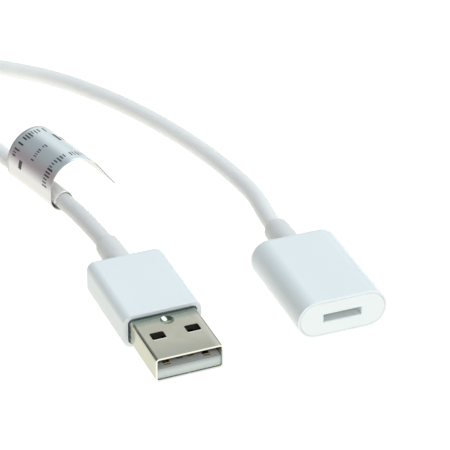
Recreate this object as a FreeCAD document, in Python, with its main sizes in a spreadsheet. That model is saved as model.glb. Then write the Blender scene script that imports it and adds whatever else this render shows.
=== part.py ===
import FreeCAD, Part
import math
import os
import re
import Sketcher

# A charging and data cable: a plug with a folded metal shell, a small flat socket, and one thin cord.
# The origin is the centre of the plug housing's underside, on the table.
# +Y runs from the plug's tip towards its cord, +X towards the socket, +Z up. All sizes are in millimetres.

Vector = FreeCAD.Vector
doc = FreeCAD.newDocument("usb_cable")
sheet = doc.addObject("Spreadsheet::Sheet", "Sizes")

# Driving dimensions
DRIVING = {
    # fits between pieces that are pushed or moulded together
    "fit_gap": 0.05,
    # folded shell of the plug
    "shell_width": 12.0,
    "shell_height": 4.5,
    "shell_sheet": 0.3,
    "shell_corner": 0.65,
    "shell_exposed": 12.3,
    "shell_seated": 6.8,
    "shell_seam": 0.12,
    "window_width": 2.5,
    "window_length": 2.0,
    "window_setback": 5.5,
    "window_spacing": 6.2,
    "window_corner": 0.35,
    "dimple_diameter": 2.4,
    "dimple_depth": 0.45,
    "dimple_setback": 2.0,
    # moulded tongue of the plug and its contacts
    "tongue_thickness": 1.95,
    "tongue_recess": 0.3,
    "mouth_depth": 8.9,
    "insulator_length": 16.2,
    "contact_width": 1.1,
    "contact_thickness": 0.25,
    "contact_sink": 0.17,
    "contact_tail": 1.7,
    "outer_contact_offset": 3.5,
    "inner_contact_offset": 1.0,
    "outer_contact_setback": 1.1,
    "inner_contact_setback": 2.1,
    "channel_lead": 0.4,
    # hard sleeve of the plug
    "plug_width": 14.2,
    "plug_thickness": 6.4,
    "plug_length": 19.15,
    "plug_edge": 1.6,
    "plug_front_edge": 0.25,
    "plug_rear_edge": 1.4,
    "plug_rear_wall": 1.5,
    "mould_fan_start": 4.2,
    "mould_fan_end": 7.5,
    "shell_gap": 0.25,
    # hard sleeve of the socket
    "socket_x": 29.15,
    "socket_y": -18.72,
    "socket_turn": -0.8,
    "socket_front_width": 16.5,
    "socket_rear_width": 16.4,
    "socket_thickness": 7.15,
    "socket_length": 22.65,
    "socket_flank": 0.15,
    "socket_rear_edge": 2.0,
    "socket_front_edge": 0.15,
    "socket_wall": 1.0,
    "socket_rear_wall": 1.5,
    # front plate and receptacle of the socket
    "plate_rim": 0.4,
    "plate_thickness": 1.2,
    "slot_width": 7.0,
    "slot_height": 1.45,
    "slot_bevel": 0.12,
    "can_width": 8.9,
    "can_height": 3.6,
    "can_sheet": 0.25,
    "can_corner": 0.5,
    "can_length": 8.6,
    "slot_depth": 7.2,
    "pin_pitch": 0.8,
    "pin_width": 0.4,
    "pin_thickness": 0.2,
    "pin_setback": 2.2,
    "pin_rise": 0.25,
    "pin_tail": 1.6,
    "latch_thickness": 0.2,
    "latch_height": 0.8,
    "latch_length": 5.0,
    "latch_rise": 0.25,
    "board_width": 7.8,
    "board_length": 5.2,
    "board_thickness": 0.8,
    # soft collars
    "collar_flange": 1.5,
    "plug_collar_exposed": 8.3,
    "socket_collar_exposed": 7.15,
    "collar_tip_taper": 0.5,
    "plug_collar_diameter": 4.8,
    "socket_collar_diameter": 5.1,
    # cord, its wires and its coil
    "cord_diameter": 3.2,
    "wire_diameter": 0.9,
    "wire_spacing": 1.0,
    "cord_straight": 5.5,
    "coil_x": -24.0,
    "coil_y": 90.0,
    "coil_middle_diameter": 32.0,
    "coil_turns_across": 4.0,
    "coil_turns_high": 2.0,
    "coil_upper_lead": 6.0,
    "coil_lower_lead": 12.5,
    "coil_lower_lead_turn": 45.0,
    "tie_thickness": 0.5,
    "tie_sweep": 16.0,
    "tie_turn": 225.0,
    # film label on the cord
    "label_length": 15.0,
    "label_film": 0.12,
    "label_slack": 0.15,
    "label_loop_radius": 2.7,
    "label_leg": 1.4,
    "label_arch_radius": 5.45,
    "label_arch_end": 36.0,
    "label_tail": 6.3,
    "label_setback": 1.6,
}
for row, (name, number) in enumerate(DRIVING.items(), 1):
    sheet.set(f"A{row}", name)
    sheet.set(f"B{row}", str(number))
    sheet.setAlias(f"B{row}", name)
doc.recompute()


def bound(text):
    """Turn a formula in plain size names into an expression on the sheet's cells."""
    return re.sub(r"[a-z][a-z_]+[a-z]", lambda word: "Sizes." + word.group(0), text)


def size(text):
    """The present number of a formula in plain size names."""
    return float(sheet.evalExpression(bound(text)))


# Bodies and sketches
pieces = []


def new_body(label):
    body = doc.addObject("PartDesign::Body", label)
    body.Label = label
    pieces.append(body)
    return body


def sketch_on(body, role, offset="0"):
    """A sketch on one of the body's own origin planes, shifted along the plane's normal."""
    sketch = body.newObject("Sketcher::SketchObject", body.Name + "_sketch")
    plane = next(item for item in body.Origin.OriginFeatures if item.Role == role)
    sketch.AttachmentSupport = [(plane, "")]
    sketch.MapMode = "FlatFace"
    sketch.setExpression("AttachmentOffset.Base.z", bound(offset))
    return sketch


def dimension(sketch, constraint, formula):
    index = sketch.addConstraint(constraint)
    sketch.setExpression(f"Constraints[{index}]", bound(formula))


def rectangle(sketch, width, height, x="0", y="0"):
    """A rectangle of the given width and height round the point x, y."""
    left, right = size(f"({x}) - ({width})/2"), size(f"({x}) + ({width})/2")
    low, high = size(f"({y}) - ({height})/2"), size(f"({y}) + ({height})/2")
    corners = [Vector(left, low), Vector(right, low), Vector(right, high), Vector(left, high)]
    first = sketch.GeometryCount
    for index in range(4):
        sketch.addGeometry(Part.LineSegment(corners[index], corners[(index + 1) % 4]), False)
    for index in range(4):
        kind = "Vertical" if index % 2 else "Horizontal"
        sketch.addConstraint(Sketcher.Constraint("Coincident", first + index, 2, first + (index + 1) % 4, 1))
        sketch.addConstraint(Sketcher.Constraint(kind, first + index))
    dimension(sketch, Sketcher.Constraint("DistanceX", first, 1, first, 2, right - left), width)
    dimension(sketch, Sketcher.Constraint("DistanceY", first + 1, 1, first + 1, 2, high - low), height)
    dimension(sketch, Sketcher.Constraint("DistanceX", -1, 1, first, 1, left), f"({x}) - ({width})/2")
    dimension(sketch, Sketcher.Constraint("DistanceY", -1, 1, first, 1, low), f"({y}) - ({height})/2")


def rounded(sketch, width, height, radius):
    """A rectangle with four equal round corners, round the sketch's origin."""
    half_w, half_h = size(f"({width})/2"), size(f"({height})/2")
    corner = size(radius)
    in_w, in_h = half_w - corner, half_h - corner
    first = sketch.GeometryCount
    upward = Vector(0, 0, 1)
    ends = [
        ((-in_w, -half_h), (in_w, -half_h), (in_w, -in_h), -90),
        ((half_w, -in_h), (half_w, in_h), (in_w, in_h), 0),
        ((in_w, half_h), (-in_w, half_h), (-in_w, in_h), 90),
        ((-half_w, in_h), (-half_w, -in_h), (-in_w, -in_h), 180),
    ]
    for start, end, centre, angle in ends:
        sketch.addGeometry(Part.LineSegment(Vector(*start), Vector(*end)), False)
        bend = Part.Circle(Vector(*centre), upward, corner)
        sketch.addGeometry(Part.ArcOfCircle(bend, math.radians(angle), math.radians(angle + 90)), False)
    for index in range(8):
        sketch.addConstraint(Sketcher.Constraint("Tangent", first + index, 2, first + (index + 1) % 8, 1))
    for index, kind in enumerate(("Horizontal", "Vertical", "Horizontal", "Vertical")):
        sketch.addConstraint(Sketcher.Constraint(kind, first + 2 * index))
    for index in (3, 5, 7):
        sketch.addConstraint(Sketcher.Constraint("Equal", first + 1, first + index))
    dimension(sketch, Sketcher.Constraint("Radius", first + 1, corner), radius)
    dimension(sketch, Sketcher.Constraint("DistanceX", first + 6, 1, first + 2, 1, 2 * half_w), width)
    dimension(sketch, Sketcher.Constraint("DistanceY", first, 1, first + 4, 1, 2 * half_h), height)
    dimension(sketch, Sketcher.Constraint("DistanceX", -1, 1, first + 2, 1, half_w), f"({width})/2")
    dimension(sketch, Sketcher.Constraint("DistanceY", -1, 1, first + 4, 1, half_h), f"({height})/2")


def stadium(sketch, width, height):
    """Two straight sides and two full-round ends, round the sketch's origin."""
    radius = size(f"({height})/2")
    reach = size(f"({width})/2 - ({height})/2")
    upward = Vector(0, 0, 1)
    first = sketch.GeometryCount
    sketch.addGeometry(Part.LineSegment(Vector(-reach, -radius), Vector(reach, -radius)), False)
    right = Part.Circle(Vector(reach, 0), upward, radius)
    sketch.addGeometry(Part.ArcOfCircle(right, -math.pi / 2, math.pi / 2), False)
    sketch.addGeometry(Part.LineSegment(Vector(reach, radius), Vector(-reach, radius)), False)
    left = Part.Circle(Vector(-reach, 0), upward, radius)
    sketch.addGeometry(Part.ArcOfCircle(left, math.pi / 2, 3 * math.pi / 2), False)
    for index in range(4):
        sketch.addConstraint(Sketcher.Constraint("Tangent", first + index, 2, first + (index + 1) % 4, 1))
    sketch.addConstraint(Sketcher.Constraint("Horizontal", first))
    sketch.addConstraint(Sketcher.Constraint("Symmetric", first + 1, 3, first + 3, 3, -1, 1))
    dimension(sketch, Sketcher.Constraint("Radius", first + 1, radius), f"({height})/2")
    dimension(sketch, Sketcher.Constraint("DistanceX", first + 3, 3, first + 1, 3, 2 * reach),
              f"({width}) - ({height})")


def circle(sketch, diameter, x="0", y="0"):
    centre = Vector(size(x), size(y))
    index = sketch.addGeometry(Part.Circle(centre, Vector(0, 0, 1), size(diameter) / 2), False)
    dimension(sketch, Sketcher.Constraint("Diameter", index, size(diameter)), diameter)
    dimension(sketch, Sketcher.Constraint("DistanceX", -1, 1, index, 3, centre.x), x)
    dimension(sketch, Sketcher.Constraint("DistanceY", -1, 1, index, 3, centre.y), y)


def polygon(sketch, points):
    """A closed outline through points given as pairs of formulas, each corner held by its two formulas."""
    corners = [Vector(size(x), size(y)) for x, y in points]
    count = len(corners)
    first = sketch.GeometryCount
    for index in range(count):
        sketch.addGeometry(Part.LineSegment(corners[index], corners[(index + 1) % count]), False)
    for index, (x, y) in enumerate(points):
        edge = first + index
        sketch.addConstraint(Sketcher.Constraint("Coincident", edge, 2, first + (index + 1) % count, 1))
        dimension(sketch, Sketcher.Constraint("DistanceX", -1, 1, edge, 1, corners[index].x), x)
        dimension(sketch, Sketcher.Constraint("DistanceY", -1, 1, edge, 1, corners[index].y), y)


def pad(body, sketch, length, backwards=True, midplane=False):
    """Material added from the sketch: along +Y from an XZ sketch when backwards is set."""
    feature = body.newObject("PartDesign::Pad", body.Name + "_pad")
    feature.Profile = sketch
    feature.setExpression("Length", bound(length))
    feature.Reversed = backwards
    feature.Midplane = midplane
    doc.recompute()
    return feature


def pocket(body, sketch, depth, reverse=False):
    """Material cut from the sketch: along +Y from an XZ sketch, down from an XY sketch, unless reversed."""
    before = body.Shape.Volume
    feature = body.newObject("PartDesign::Pocket", body.Name + "_pocket")
    feature.Profile = sketch
    feature.setExpression("Length", bound(depth))
    feature.Reversed = reverse
    doc.recompute()
    if not body.Shape.Volume < before:
        raise RuntimeError(f"{body.Label}: a pocket cut nothing")
    return feature


def dress(body, kind, amount, test):
    """A fillet or chamfer on the edges that pass the test."""
    base = body.Tip
    names = [f"Edge{number}" for number, edge in enumerate(base.Shape.Edges, 1) if test(edge)]
    feature = body.newObject("PartDesign::" + kind, body.Name + "_" + kind.lower())
    feature.Base = (base, names)
    feature.setExpression("Radius" if kind == "Fillet" else "Size", bound(amount))
    doc.recompute()
    return feature


def lies_at(axis, place):
    """A test for edges that lie wholly in the plane where one coordinate has the given value."""
    def test(edge):
        box = edge.BoundBox
        low, high = getattr(box, axis + "Min"), getattr(box, axis + "Max")
        return abs(low - place) < 1e-4 and abs(high - place) < 1e-4
    return test


def stands_upright(height):
    """A test for straight upright edges of the given height."""
    def test(edge):
        box = edge.BoundBox
        return max(box.XLength, box.YLength) < 1e-4 and abs(box.ZLength - height) < 1e-4
    return test


def spin(body, sketch, axis, additive=True):
    """A full turn of the sketch about one of its own axes."""
    kind = "PartDesign::Revolution" if additive else "PartDesign::Groove"
    feature = body.newObject(kind, body.Name + "_turn")
    feature.Profile = sketch
    feature.ReferenceAxis = (sketch, [axis])
    feature.Angle = 360
    doc.recompute()
    return feature


# Places of the two connectors: each is modelled from its mouth, along +Y, with its axis at height 0.
PLUG_TIP = -size("plug_length/2 + shell_exposed")
PLUG_AXIS = size("plug_thickness/2")
SOCKET_AXIS = size("socket_thickness/2")
plug_pose = FreeCAD.Placement(Vector(0, PLUG_TIP, PLUG_AXIS), FreeCAD.Rotation())
socket_pose = FreeCAD.Placement(Vector(size("socket_x"), size("socket_y"), SOCKET_AXIS),
                                FreeCAD.Rotation(Vector(0, 0, 1), size("socket_turn")))


def seat(piece, pose, along="0"):
    """Stand a piece in its connector, a distance behind the mouth."""
    piece.Placement = pose * FreeCAD.Placement(Vector(0, size(along), 0), FreeCAD.Rotation())


# Tubes along straight runs joined by tangent arcs
ARC_SHARE = 0.45


def tube_shape(points, diameter):
    """A round solid along the points; each arc takes its share of the shorter run beside it."""
    edges = []
    start = points[0]
    for before, corner, after in zip(points, points[1:], points[2:]):
        inward, outward = (before - corner).normalize(), (after - corner).normalize()
        reach = ARC_SHARE * min(before.distanceToPoint(corner), after.distanceToPoint(corner))
        half_turn = (math.pi - inward.getAngle(outward)) / 2
        radius = reach / math.tan(half_turn)
        begin, end = corner + inward * reach, corner + outward * reach
        bisector = (inward + outward).normalize()
        middle = corner + bisector * (radius / math.cos(half_turn) - radius)
        edges += [Part.LineSegment(start, begin).toShape(), Part.Arc(begin, middle, end).toShape()]
        start = end
    edges.append(Part.LineSegment(start, points[-1]).toShape())
    spine = Part.Wire(edges)
    disc = Part.Wire(Part.Circle(points[0], points[1] - points[0], diameter / 2).toShape())
    solid = spine.makePipeShell([disc], True, False)
    expected = math.pi * diameter ** 2 / 4 * spine.Length
    if abs(solid.Volume / expected - 1) > 0.01:
        raise RuntimeError(f"a tube's volume is {solid.Volume:.1f}, expected {expected:.1f}")
    return solid


def shaped(label, shape):
    """A piece of its own from a finished shape."""
    feature = doc.addObject("Part::Feature", label)
    feature.Label = label
    feature.Shape = shape
    pieces.append(feature)
    return feature


# Plug shell: one folded sheet with a butt seam below, four windows, and a pressed dimple near the housing
def make_plug_shell():
    body = new_body("plug_shell")
    section = sketch_on(body, "XZ_Plane")
    rounded(section, "shell_width", "shell_height", "shell_corner")
    rounded(section, "shell_width - 2*shell_sheet", "shell_height - 2*shell_sheet",
            "shell_corner - shell_sheet")
    pad(body, section, "shell_exposed + shell_seated")
    for face, reverse in (("shell_height/2", False), ("-shell_height/2", True)):
        windows = sketch_on(body, "XY_Plane", face)
        for side in (-1, 1):
            rectangle(windows, "window_width", "window_length", f"{side}*window_spacing/2",
                      "window_setback + window_length/2")
        pocket(body, windows, "shell_sheet + fit_gap", reverse)
    dress(body, "Fillet", "window_corner", stands_upright(size("shell_sheet")))
    seam = sketch_on(body, "XY_Plane", "-shell_height/2")
    rectangle(seam, "shell_seam", "shell_exposed + shell_seated", "0", "(shell_exposed + shell_seated)/2")
    pocket(body, seam, "shell_sheet + fit_gap", True)
    for level, additive in (("shell_height/2 - shell_sheet", True), ("shell_height/2", False)):
        spin(body, dimple_profile(body, level), "V_Axis", additive)
    seat(body, plug_pose)


def dimple_profile(body, level):
    """Half of a shallow round cap below the given level, beside its own upright axis."""
    sketch = sketch_on(body, "YZ_Plane")
    sketch.setExpression("AttachmentOffset.Base.x", bound("shell_exposed - dimple_setback"))
    top, depth, reach = size(level), size("dimple_depth"), size("dimple_diameter/2")
    radius = (reach ** 2 + depth ** 2) / (2 * depth)
    centre = Vector(0, top - depth + radius)
    rim, low = Vector(reach, top), Vector(0, top - depth)
    start = math.atan2(low.y - centre.y, low.x - centre.x)
    end = math.atan2(rim.y - centre.y, rim.x - centre.x)
    arc = Part.ArcOfCircle(Part.Circle(centre, Vector(0, 0, 1), radius), start, end)
    upper = Vector(0, top)
    sketch.addGeometry([arc, Part.LineSegment(rim, upper), Part.LineSegment(upper, low)], False)
    for index in range(3):
        sketch.addConstraint(Sketcher.Constraint("Coincident", index, 2, (index + 1) % 3, 1))
    sketch.addConstraint(Sketcher.Constraint("Horizontal", 1))
    sketch.addConstraint(Sketcher.Constraint("Vertical", 2))
    dimension(sketch, Sketcher.Constraint("DistanceX", 1, 2, 1, 1, reach), "dimple_diameter/2")
    dimension(sketch, Sketcher.Constraint("DistanceY", 2, 2, 2, 1, depth), "dimple_depth")
    dimension(sketch, Sketcher.Constraint("DistanceY", -1, 1, 1, 2, top), level)
    sketch.addConstraint(Sketcher.Constraint("DistanceX", -1, 1, 1, 2, 0))
    return sketch


# Plug tongue and contacts: the contacts lie in channels of the tongue and run on through the rear block
TONGUE_TOP = "(tongue_thickness + fit_gap - shell_height/2 + shell_sheet)"
CONTACTS = {
    "power": ("-outer_contact_offset", "outer_contact_setback"),
    "data_minus": ("-inner_contact_offset", "inner_contact_setback"),
    "data_plus": ("inner_contact_offset", "inner_contact_setback"),
    "ground": ("outer_contact_offset", "outer_contact_setback"),
}
CONTACT_LEVEL = f"({TONGUE_TOP} - contact_sink)"


def make_plug_insulator():
    body = new_body("plug_insulator")
    section = sketch_on(body, "XZ_Plane")
    rounded(section, "shell_width - 2*shell_sheet - 2*fit_gap", "shell_height - 2*shell_sheet - 2*fit_gap",
            "shell_corner - shell_sheet")
    pad(body, section, "insulator_length")
    mouth = sketch_on(body, "XZ_Plane")
    rectangle(mouth, "shell_width", "shell_height", "0", f"{TONGUE_TOP} + shell_height/2")
    pocket(body, mouth, "mouth_depth - tongue_recess")
    for offset, setback in CONTACTS.values():
        channel = sketch_on(body, "XZ_Plane", f"channel_lead - {setback}")
        rectangle(channel, "contact_width + 2*fit_gap", "contact_thickness + 2*fit_gap", offset,
                  f"{CONTACT_LEVEL} + contact_thickness/2")
        pocket(body, channel, "insulator_length")
    notch = sketch_on(body, "XY_Plane", "shell_height/2")
    circle(notch, "dimple_diameter + 4*fit_gap", "0", "shell_exposed - dimple_setback - tongue_recess")
    pocket(body, notch, "shell_sheet + dimple_depth + 2*fit_gap")
    seat(body, plug_pose, "tongue_recess")


def make_plug_contacts():
    for name, (offset, setback) in CONTACTS.items():
        body = new_body("contact_" + name)
        section = sketch_on(body, "XZ_Plane")
        rectangle(section, "contact_width", "contact_thickness", offset,
                  f"{CONTACT_LEVEL} + contact_thickness/2")
        pad(body, section, f"insulator_length - {setback} + contact_tail")
        top = size(f"{CONTACT_LEVEL} + contact_thickness")
        dress(body, "Chamfer", "contact_thickness/2",
              lambda edge: lies_at("Y", 0)(edge) and lies_at("Z", top)(edge))
        seat(body, plug_pose, f"tongue_recess + {setback}")


# Wires: each runs from its solder place to the collar's flange, drawn in towards the cord's middle
def wire_run(label, pose, offset, rank, level, start, end):
    """A wire from offset at start to its rank beside the axis at end, in the plane at the given level."""
    near = Vector(size(offset), start, level)
    far = Vector(rank * size("wire_spacing"), end, level)
    lead = (end - start) / 3
    points = [near, near + Vector(0, lead, 0), far - Vector(0, lead, 0), far]
    shaped(label, tube_shape(points, size("wire_diameter"))).Placement = pose


WIRE_RANKS = {"power": -1.5, "data_minus": -0.5, "data_plus": 0.5, "ground": 1.5}
PLUG_WIRE_LEVEL = f"({CONTACT_LEVEL} + contact_thickness + fit_gap + wire_diameter/2)"
PLUG_FLANGE = "(shell_exposed + plug_length - plug_rear_wall - collar_flange)"
MOULD_FRONT = "(shell_exposed + shell_seated)"


def make_plug_wires():
    for name, (offset, setback) in CONTACTS.items():
        wire_run("plug_wire_" + name, plug_pose, offset, WIRE_RANKS[name], size(PLUG_WIRE_LEVEL),
                 size("tongue_recess + insulator_length + fit_gap"), size(PLUG_FLANGE))


# Plug inner mould: fills the sleeve behind the shell, with a fan-shaped way for the wires
def make_plug_inner_mould():
    body = new_body("plug_inner_mould")
    section = sketch_on(body, "XZ_Plane")
    rounded(section, "shell_width + 2*shell_gap - 2*fit_gap", "shell_height + 2*shell_gap - 2*fit_gap",
            "shell_corner + shell_gap")
    pad(body, section, f"{PLUG_FLANGE} - {MOULD_FRONT}")
    fan = sketch_on(body, "XY_Plane", f"{PLUG_WIRE_LEVEL} + wire_diameter/2 + fit_gap")
    wide = "(outer_contact_offset + wire_diameter/2 + 2*fit_gap)"
    narrow = "(1.5*wire_spacing + wire_diameter/2 + 2*fit_gap)"
    length = f"({PLUG_FLANGE} - {MOULD_FRONT})"
    polygon(fan, [(f"-{wide}", "0"), (wide, "0"), (wide, "mould_fan_start"), (narrow, "mould_fan_end"),
                  (narrow, length), (f"-{narrow}", length), (f"-{narrow}", "mould_fan_end"),
                  (f"-{wide}", "mould_fan_start")])
    pocket(body, fan, "wire_diameter + 2*fit_gap")
    seat(body, plug_pose, MOULD_FRONT)


# Plug housing: a hard sleeve with rounded edges, open in front, with a round way out for the collar
def make_plug_housing():
    body = new_body("plug_housing")
    section = sketch_on(body, "XZ_Plane")
    rounded(section, "plug_width", "plug_thickness", "plug_edge")
    pad(body, section, "plug_length")
    dress(body, "Fillet", "plug_rear_edge", lies_at("Y", size("plug_length")))
    dress(body, "Fillet", "plug_front_edge", lies_at("Y", 0))
    hollow = sketch_on(body, "XZ_Plane")
    rounded(hollow, "shell_width + 2*shell_gap", "shell_height + 2*shell_gap", "shell_corner + shell_gap")
    pocket(body, hollow, "plug_length - plug_rear_wall")
    way = sketch_on(body, "XZ_Plane")
    circle(way, "plug_collar_diameter + 2*fit_gap")
    pocket(body, way, "plug_length")
    seat(body, plug_pose, "shell_exposed")


# Collars: a soft tapered sleeve with a rounded end, held inside the housing by its flange
def make_collar(label, pose, exposed, wall_at, wall, diameter, flange_width, flange_height, flange_corner):
    body = new_body(label)
    flange = sketch_on(body, "XZ_Plane")
    rounded(flange, flange_width, flange_height, flange_corner)
    pad(body, flange, "collar_flange")
    profile = sketch_on(body, "YZ_Plane")
    reach = f"(collar_flange + {wall} + {exposed})"
    root, base = size("collar_flange/2"), size(f"{diameter}/2")
    shoulder = size(f"({diameter} - collar_tip_taper - cord_diameter)/2")
    tip, end = size(f"({diameter} - collar_tip_taper)/2"), size(reach)
    face = tip - shoulder
    bend = Part.Circle(Vector(end - shoulder, tip - shoulder), Vector(0, 0, 1), shoulder)
    outline = [
        Part.LineSegment(Vector(root, 0), Vector(end, 0)),
        Part.LineSegment(Vector(end, 0), Vector(end, face)),
        Part.ArcOfCircle(bend, 0, math.pi / 2),
        Part.LineSegment(Vector(end - shoulder, tip), Vector(size(f"collar_flange + {wall}"), base)),
        Part.LineSegment(Vector(size(f"collar_flange + {wall}"), base), Vector(root, base)),
        Part.LineSegment(Vector(root, base), Vector(root, 0)),
    ]
    profile.addGeometry(outline, False)
    for index in range(6):
        profile.addConstraint(Sketcher.Constraint("Coincident", index, 2, (index + 1) % 6, 1))
    for index, kind in ((0, "Horizontal"), (1, "Vertical"), (4, "Horizontal"), (5, "Vertical")):
        profile.addConstraint(Sketcher.Constraint(kind, index))
    dimension(profile, Sketcher.Constraint("DistanceX", -1, 1, 0, 2, end), reach)
    dimension(profile, Sketcher.Constraint("DistanceX", -1, 1, 0, 1, root), "collar_flange/2")
    dimension(profile, Sketcher.Constraint("DistanceY", 1, 1, 1, 2, face), "cord_diameter/2")
    dimension(profile, Sketcher.Constraint("DistanceY", 5, 2, 5, 1, base), f"{diameter}/2")
    dimension(profile, Sketcher.Constraint("DistanceX", -1, 1, 4, 1, size(f"collar_flange + {wall}")),
              f"collar_flange + {wall}")
    dimension(profile, Sketcher.Constraint("Radius", 2, shoulder),
              f"({diameter} - collar_tip_taper - cord_diameter)/2")
    profile.addConstraint(Sketcher.Constraint("PointOnObject", 0, 1, -1))
    spin(body, profile, "H_Axis")
    seat(body, pose, f"{wall_at} - collar_flange")


def make_plug_collar():
    make_collar("plug_strain_relief", plug_pose, "plug_collar_exposed",
                "shell_exposed + plug_length - plug_rear_wall", "plug_rear_wall", "plug_collar_diameter",
                "shell_width + 2*shell_gap - 2*fit_gap", "shell_height + 2*shell_gap - 2*fit_gap",
                "shell_corner + shell_gap")


# Socket housing: a full-round sleeve, hardly narrower towards the cord, with a rabbet for the front plate
HOLLOW_WIDTH = "(socket_rear_width - 2*socket_wall)"
HOLLOW_HEIGHT = "(socket_thickness - 2*socket_wall)"


def make_socket_housing():
    body = new_body("socket_housing")
    plan = sketch_on(body, "XY_Plane")
    polygon(plan, [("-socket_front_width/2", "0"), ("socket_front_width/2", "0"),
                   ("socket_rear_width/2", "socket_length"), ("-socket_rear_width/2", "socket_length")])
    pad(body, plan, "socket_thickness", False, True)
    dress(body, "Fillet", "socket_thickness/2 - socket_flank/2",
          lambda edge: edge.BoundBox.ZLength < 0.01 and edge.BoundBox.YLength > size("socket_length") - 0.01)
    dress(body, "Fillet", "socket_rear_edge", lies_at("Y", size("socket_length")))
    dress(body, "Fillet", "socket_front_edge", lies_at("Y", 0))
    hollow = sketch_on(body, "XZ_Plane")
    stadium(hollow, HOLLOW_WIDTH, HOLLOW_HEIGHT)
    pocket(body, hollow, "socket_length - socket_rear_wall")
    rabbet = sketch_on(body, "XZ_Plane")
    stadium(rabbet, "socket_front_width - 2*plate_rim", "socket_thickness - 2*plate_rim")
    pocket(body, rabbet, "plate_thickness")
    way = sketch_on(body, "XZ_Plane")
    circle(way, "socket_collar_diameter + 2*fit_gap")
    pocket(body, way, "socket_length")
    seat(body, socket_pose)


# Socket front plate: sits in the rabbet, flush with the sleeve, and carries the bevelled slot
def make_socket_front_plate():
    body = new_body("socket_front_plate")
    outline = sketch_on(body, "XZ_Plane")
    stadium(outline, "socket_front_width - 2*plate_rim - 2*fit_gap",
            "socket_thickness - 2*plate_rim - 2*fit_gap")
    pad(body, outline, "plate_thickness")
    slot = sketch_on(body, "XZ_Plane")
    rectangle(slot, "slot_width", "slot_height")
    pocket(body, slot, "plate_thickness")
    half = size("slot_width/2")
    dress(body, "Chamfer", "slot_bevel",
          lambda edge: lies_at("Y", 0)(edge) and edge.BoundBox.XMax < half + 0.01
          and edge.BoundBox.XMin > -half - 0.01 and abs(edge.BoundBox.Center.z) < size("slot_height"))
    seat(body, socket_pose)


# Receptacle: a folded can round a moulded block, with sprung contacts below the slot and a latch each side
def make_socket_shell():
    body = new_body("socket_shell")
    section = sketch_on(body, "XZ_Plane")
    rounded(section, "can_width", "can_height", "can_corner")
    rounded(section, "can_width - 2*can_sheet", "can_height - 2*can_sheet", "can_corner - can_sheet")
    pad(body, section, "can_length")
    seat(body, socket_pose, "plate_thickness")


PINS = range(1, 9)
PIN_LEVEL = "(-slot_height/2 - pin_thickness - fit_gap)"
LATCH_SEAT = "(slot_width/2 + latch_thickness/2 + fit_gap)"


def pin_offset(number):
    return f"{number - 4.5}*pin_pitch"


def make_socket_insulator():
    body = new_body("socket_insulator")
    section = sketch_on(body, "XZ_Plane")
    rounded(section, "can_width - 2*can_sheet - 2*fit_gap", "can_height - 2*can_sheet - 2*fit_gap",
            "can_corner - can_sheet")
    pad(body, section, "can_length")
    slot = sketch_on(body, "XZ_Plane")
    rectangle(slot, "slot_width", "slot_height")
    pocket(body, slot, "slot_depth")
    channels = sketch_on(body, "XZ_Plane", "fit_gap - pin_setback")
    for number in PINS:
        rectangle(channels, "pin_width + 2*fit_gap", "pin_thickness + 2*fit_gap", pin_offset(number),
                  f"{PIN_LEVEL} + pin_thickness/2")
    pocket(body, channels, "can_length")
    sides = sketch_on(body, "XZ_Plane", "fit_gap - pin_setback")
    for side in (-1, 1):
        rectangle(sides, "latch_thickness + 2*fit_gap", "latch_height + 2*fit_gap", f"{side}*{LATCH_SEAT}")
    pocket(body, sides, "latch_length + 2*fit_gap")
    seat(body, socket_pose, "plate_thickness")


def make_socket_contacts():
    length = "(can_length - pin_setback + pin_tail)"
    for number in PINS:
        body = new_body(f"socket_contact_{number}")
        side = sketch_on(body, "YZ_Plane", pin_offset(number))
        top = f"({PIN_LEVEL} + pin_thickness)"
        crown = f"({top} + pin_rise)"
        polygon(side, [("0", PIN_LEVEL), (length, PIN_LEVEL), (length, top),
                       ("4*pin_rise + 3*pin_thickness", top), ("2*pin_rise + 2*pin_thickness", crown),
                       ("2*pin_rise + pin_thickness", crown), ("pin_thickness", top), ("0", top)])
        pad(body, side, "pin_width", False, True)
        seat(body, socket_pose, "plate_thickness + pin_setback")


def make_socket_latches():
    for name, side in (("left", -1), ("right", 1)):
        body = new_body("socket_latch_" + name)
        plan = sketch_on(body, "XY_Plane")
        inner = f"({LATCH_SEAT} - latch_thickness/2)"
        points = [(f"{inner} + latch_thickness", "0"), (f"{inner} + latch_thickness", "latch_length"),
                  (inner, "latch_length"), (inner, "4*latch_rise"), (f"{inner} - latch_rise", "2*latch_rise"),
                  (f"{inner} - latch_rise", "1.5*latch_rise"), (inner, "0")]
        polygon(plan, [(f"{side}*({x})", y) for x, y in points])
        pad(body, plan, "latch_height", False, True)
        seat(body, socket_pose, "plate_thickness + pin_setback")


# Socket board: the contacts' tails lie on it, and the wires end on it
BOARD_FRONT = "(plate_thickness + can_length)"


def make_socket_board():
    board = doc.addObject("Part::Box", "socket_board")
    board.Label = "socket_board"
    board.setExpression("Length", bound("board_width"))
    board.setExpression("Width", bound("board_length"))
    board.setExpression("Height", bound("board_thickness"))
    corner = Vector(-size("board_width/2"), size(BOARD_FRONT), size(f"{PIN_LEVEL} - board_thickness"))
    board.Placement = socket_pose * FreeCAD.Placement(corner, FreeCAD.Rotation())
    pieces.append(board)


SOCKET_FLANGE = "(socket_length - socket_rear_wall - collar_flange)"
SOCKET_WIRE_LEVEL = f"({PIN_LEVEL} + fit_gap + wire_diameter/2)"


def make_socket_wires():
    for name, rank in WIRE_RANKS.items():
        wire_run("socket_wire_" + name, socket_pose, f"{2 * rank}*wire_spacing", rank,
                 size(SOCKET_WIRE_LEVEL), size(f"{BOARD_FRONT} + pin_tail + wire_diameter"),
                 size(SOCKET_FLANGE))


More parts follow.
